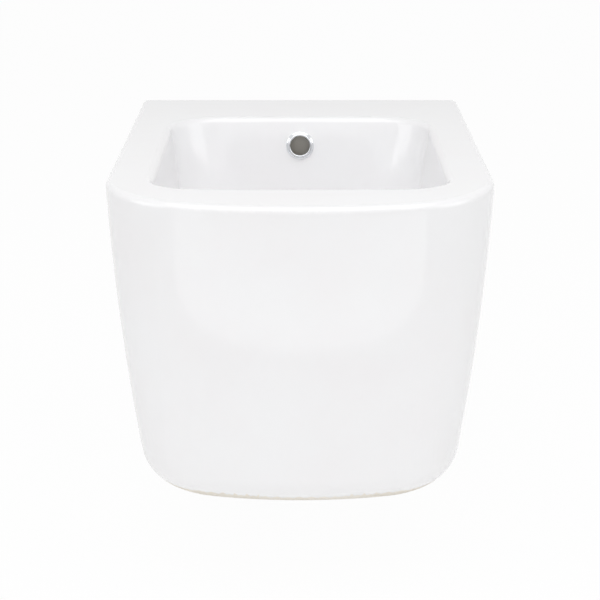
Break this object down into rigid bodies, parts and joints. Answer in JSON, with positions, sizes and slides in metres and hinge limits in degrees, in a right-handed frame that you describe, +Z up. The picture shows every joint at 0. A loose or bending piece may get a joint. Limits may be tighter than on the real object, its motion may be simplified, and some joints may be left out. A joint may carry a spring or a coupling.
{
  "type": "wall-hung bidet",
  "caption": "Wall-hung bidet: skirted white china basin on wall studs, with overflow, press-to-close waste and trap.",
  "frame": {"origin": "on the face of the finished wall, midway between the two wall studs", "axes": "+Z up, +Y into the wall, the bowl reaches out towards -Y; +X is to the right of a person who faces the wall"},
  "size_m": [0.3594, 0.5697, 0.3],
  "materials": {
    "vitreous_china": "gloss white glaze",
    "chrome_plate": "bright chrome plate on brass",
    "bare_brass": "turned brass",
    "black_rubber": "moulded EPDM rubber",
    "natural_nylon": "moulded nylon",
    "spring_steel": "drawn stainless wire",
    "zinc_plated_steel": "bright zinc plate",
    "white_polypropylene": "moulded polypropylene"
  },
  "bodies": {
    "root": {"ceramic_body": "vitreous_china", "overflow_ring": "chrome_plate", "waste_flange_seal": "black_rubber", "waste_body": "chrome_plate", "waste_lower_gasket": "black_rubber", "waste_slip_washer": "natural_nylon", "waste_backnut": "bare_brass", "clicker_barrel": "bare_brass", "clicker_spring": "spring_steel", "trap_inlet_washer": "black_rubber", "trap_inlet_nut": "white_polypropylene", "trap_inlet_tube": "white_polypropylene", "trap_dip_washer": "black_rubber", "trap_dip_nut": "white_polypropylene", "trap_u_bend": "white_polypropylene", "trap_union_washer": "black_rubber", "trap_union_nut": "white_polypropylene", "trap_elbow": "white_polypropylene", "trap_outlet_washer": "black_rubber", "trap_outlet_nut": "white_polypropylene", "outlet_pipe": "white_polypropylene", "wall_rosette": "white_polypropylene", "stud_left": "zinc_plated_steel", "stud_right": "zinc_plated_steel", "bush_left": "natural_nylon", "bush_right": "natural_nylon", "washer_left": "zinc_plated_steel", "washer_right": "zinc_plated_steel", "nut_left": "zinc_plated_steel", "nut_right": "zinc_plated_steel"},
    "plug": {"plug_cap": "chrome_plate", "plug_seal": "black_rubber", "plug_stem": "bare_brass", "clicker_rotor": "natural_nylon"}
  },
  "joints": [
    {"name": "plug_slide", "type": "slide", "parent": "root", "child": "plug", "axis": [0, 0, 1], "range_m": [-0.009, 0], "stiffness_N_per_m": 400, "springref_m": 0.012, "deforming": ["clicker_spring"]}
  ]
}
